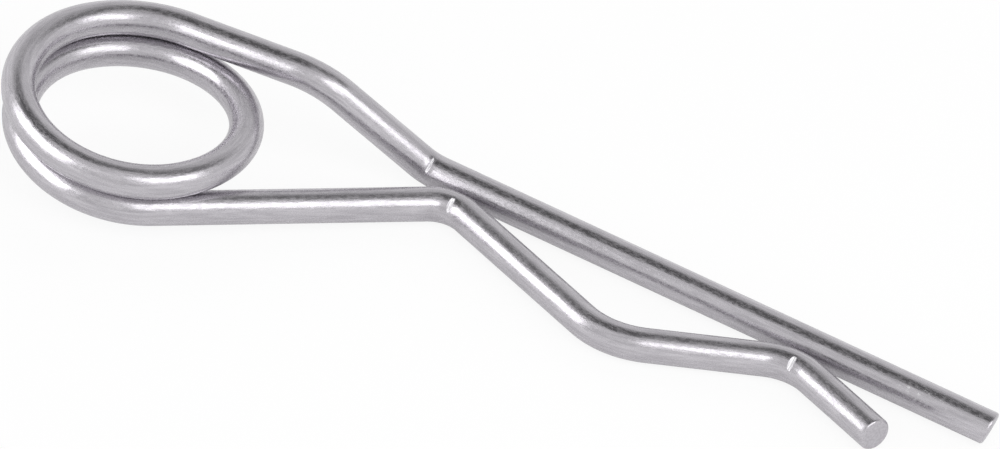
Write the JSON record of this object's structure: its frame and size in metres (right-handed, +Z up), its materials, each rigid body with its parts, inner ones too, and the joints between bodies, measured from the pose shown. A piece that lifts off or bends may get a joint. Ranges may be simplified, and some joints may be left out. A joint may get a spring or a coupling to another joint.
{
  "type": "hitch r clip pin",
  "caption": "Double-coil R clip of bright zinc-plated spring wire. Its straight leg locks a bolt or hitch pin through a cross hole, and its wavy leg grips the bolt's outside.",
  "frame": {"origin": "where the axis of the straight leg crosses the axis of the bolt that the clip locks", "axes": "+X along the straight leg to its tip, -Y to the wavy leg, +Z up through the coil, from the side that the clip lies on"},
  "size_m": [0.12, 0.0376, 0.0134],
  "materials": {
    "wire": "bright zinc plated, drawn along the wire"
  },
  "bodies": {
    "root": {"clip": "wire"}
  },
  "joints": []
}
